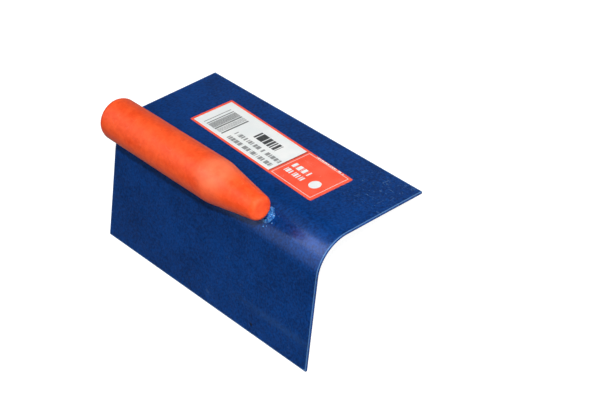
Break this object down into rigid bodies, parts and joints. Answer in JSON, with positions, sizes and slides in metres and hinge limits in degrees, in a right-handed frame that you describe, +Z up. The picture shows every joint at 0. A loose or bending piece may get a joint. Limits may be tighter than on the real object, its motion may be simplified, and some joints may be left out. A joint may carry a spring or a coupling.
{
  "type": "kerb nosing trowel",
  "caption": "Concrete kerb nosing trowel: a blue steel sheet blade bent over a large radius, with a tapered wooden handle standing on pins along the bend.",
  "frame": {"origin": "middle of the bounding box's base, on the plane that both flanges' free edges stand on", "axes": "+X along the bend towards the handle's nose, +Y towards the flange with the label, +Z up"},
  "size_m": [0.2, 0.1258, 0.0779],
  "materials": {
    "blade_enamel": "semi-gloss deep blue enamel with a fine orange-peel texture",
    "handle_paint": "turned hardwood under satin orange paint",
    "post_enamel": "glossy blue enamel over drawn steel pin",
    "weld_enamel": "glossy blue enamel over a rippled weld bead",
    "label_film": "glossy printed sticker with a white and a red panel"
  },
  "bodies": {
    "root": {"nosing_blade": "blade_enamel", "handle": "handle_paint", "front_post": "post_enamel", "rear_post": "post_enamel", "front_weld": "weld_enamel", "rear_weld": "weld_enamel", "label": "label_film"}
  },
  "joints": []
}
